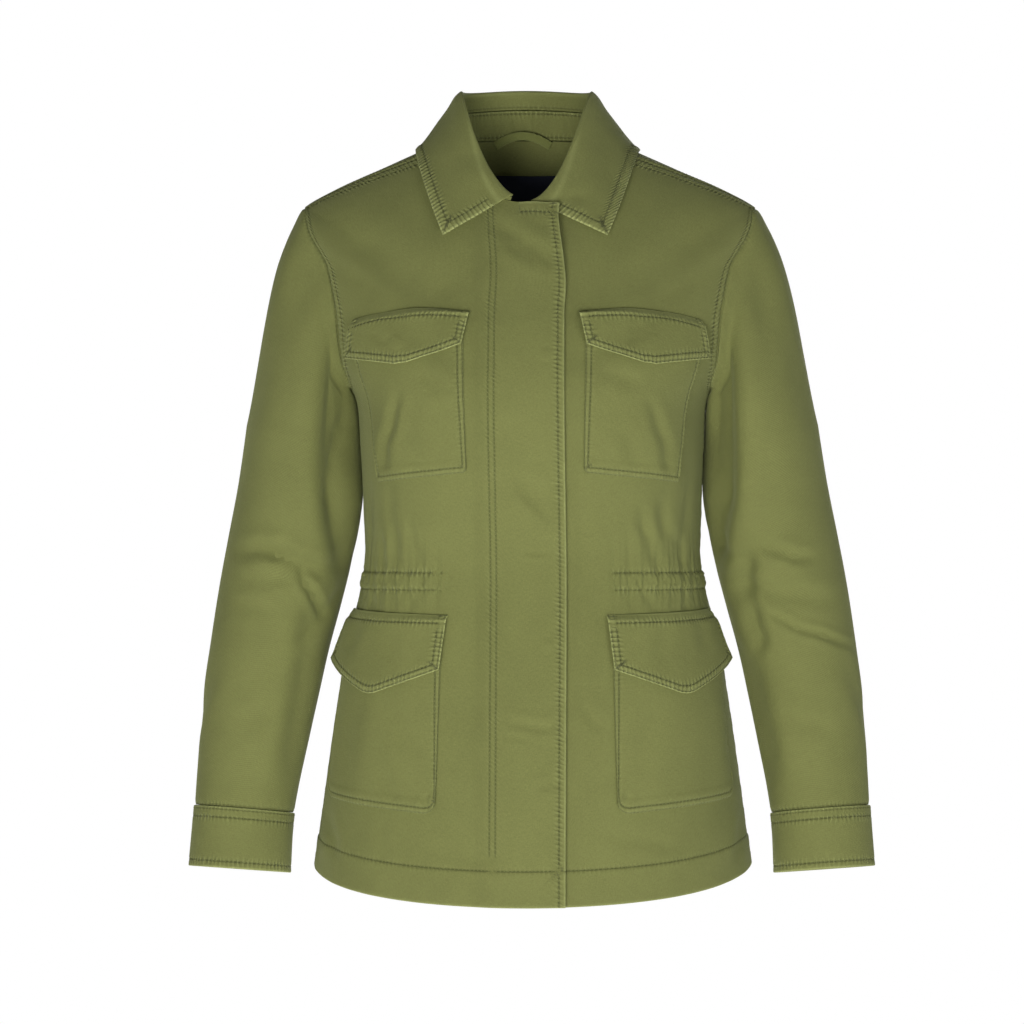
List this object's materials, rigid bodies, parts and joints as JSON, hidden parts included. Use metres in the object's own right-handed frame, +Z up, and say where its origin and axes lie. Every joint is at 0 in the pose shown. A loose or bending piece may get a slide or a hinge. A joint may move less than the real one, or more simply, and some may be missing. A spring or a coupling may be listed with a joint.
{
  "type": "field jacket",
  "caption": "Waisted cotton field jacket with turned-down collar, covered front closing, flap pockets at chest and hip, gathered waist casing and cuffed sleeves.",
  "frame": {"origin": "midway between the two neck points of the shoulder seams, where the wearer's shoulders carry the jacket", "axes": "+X to the wearer's left, +Y to the wearer's back, +Z up"},
  "size_m": [0.6265, 0.2694, 0.7432],
  "materials": {
    "olive_twill": "garment-washed cotton twill, matt, paler on worn edges",
    "olive_tape": "matt cotton tape",
    "navy_label": "plain woven satin, no text"
  },
  "bodies": {
    "root": {"back": "olive_twill", "front_left": "olive_twill", "front_right": "olive_twill", "sleeve_left": "olive_twill", "sleeve_right": "olive_twill", "cuff_left": "olive_twill", "cuff_right": "olive_twill", "chest_pocket_left": "olive_twill", "chest_pocket_right": "olive_twill", "chest_flap_left": "olive_twill", "chest_flap_right": "olive_twill", "hip_pocket_left": "olive_twill", "hip_pocket_right": "olive_twill", "hip_flap_left": "olive_twill", "hip_flap_right": "olive_twill", "collar_stand": "olive_twill", "collar_leaf": "olive_twill", "hanger_loop": "olive_tape", "neck_label": "navy_label"}
  },
  "joints": []
}
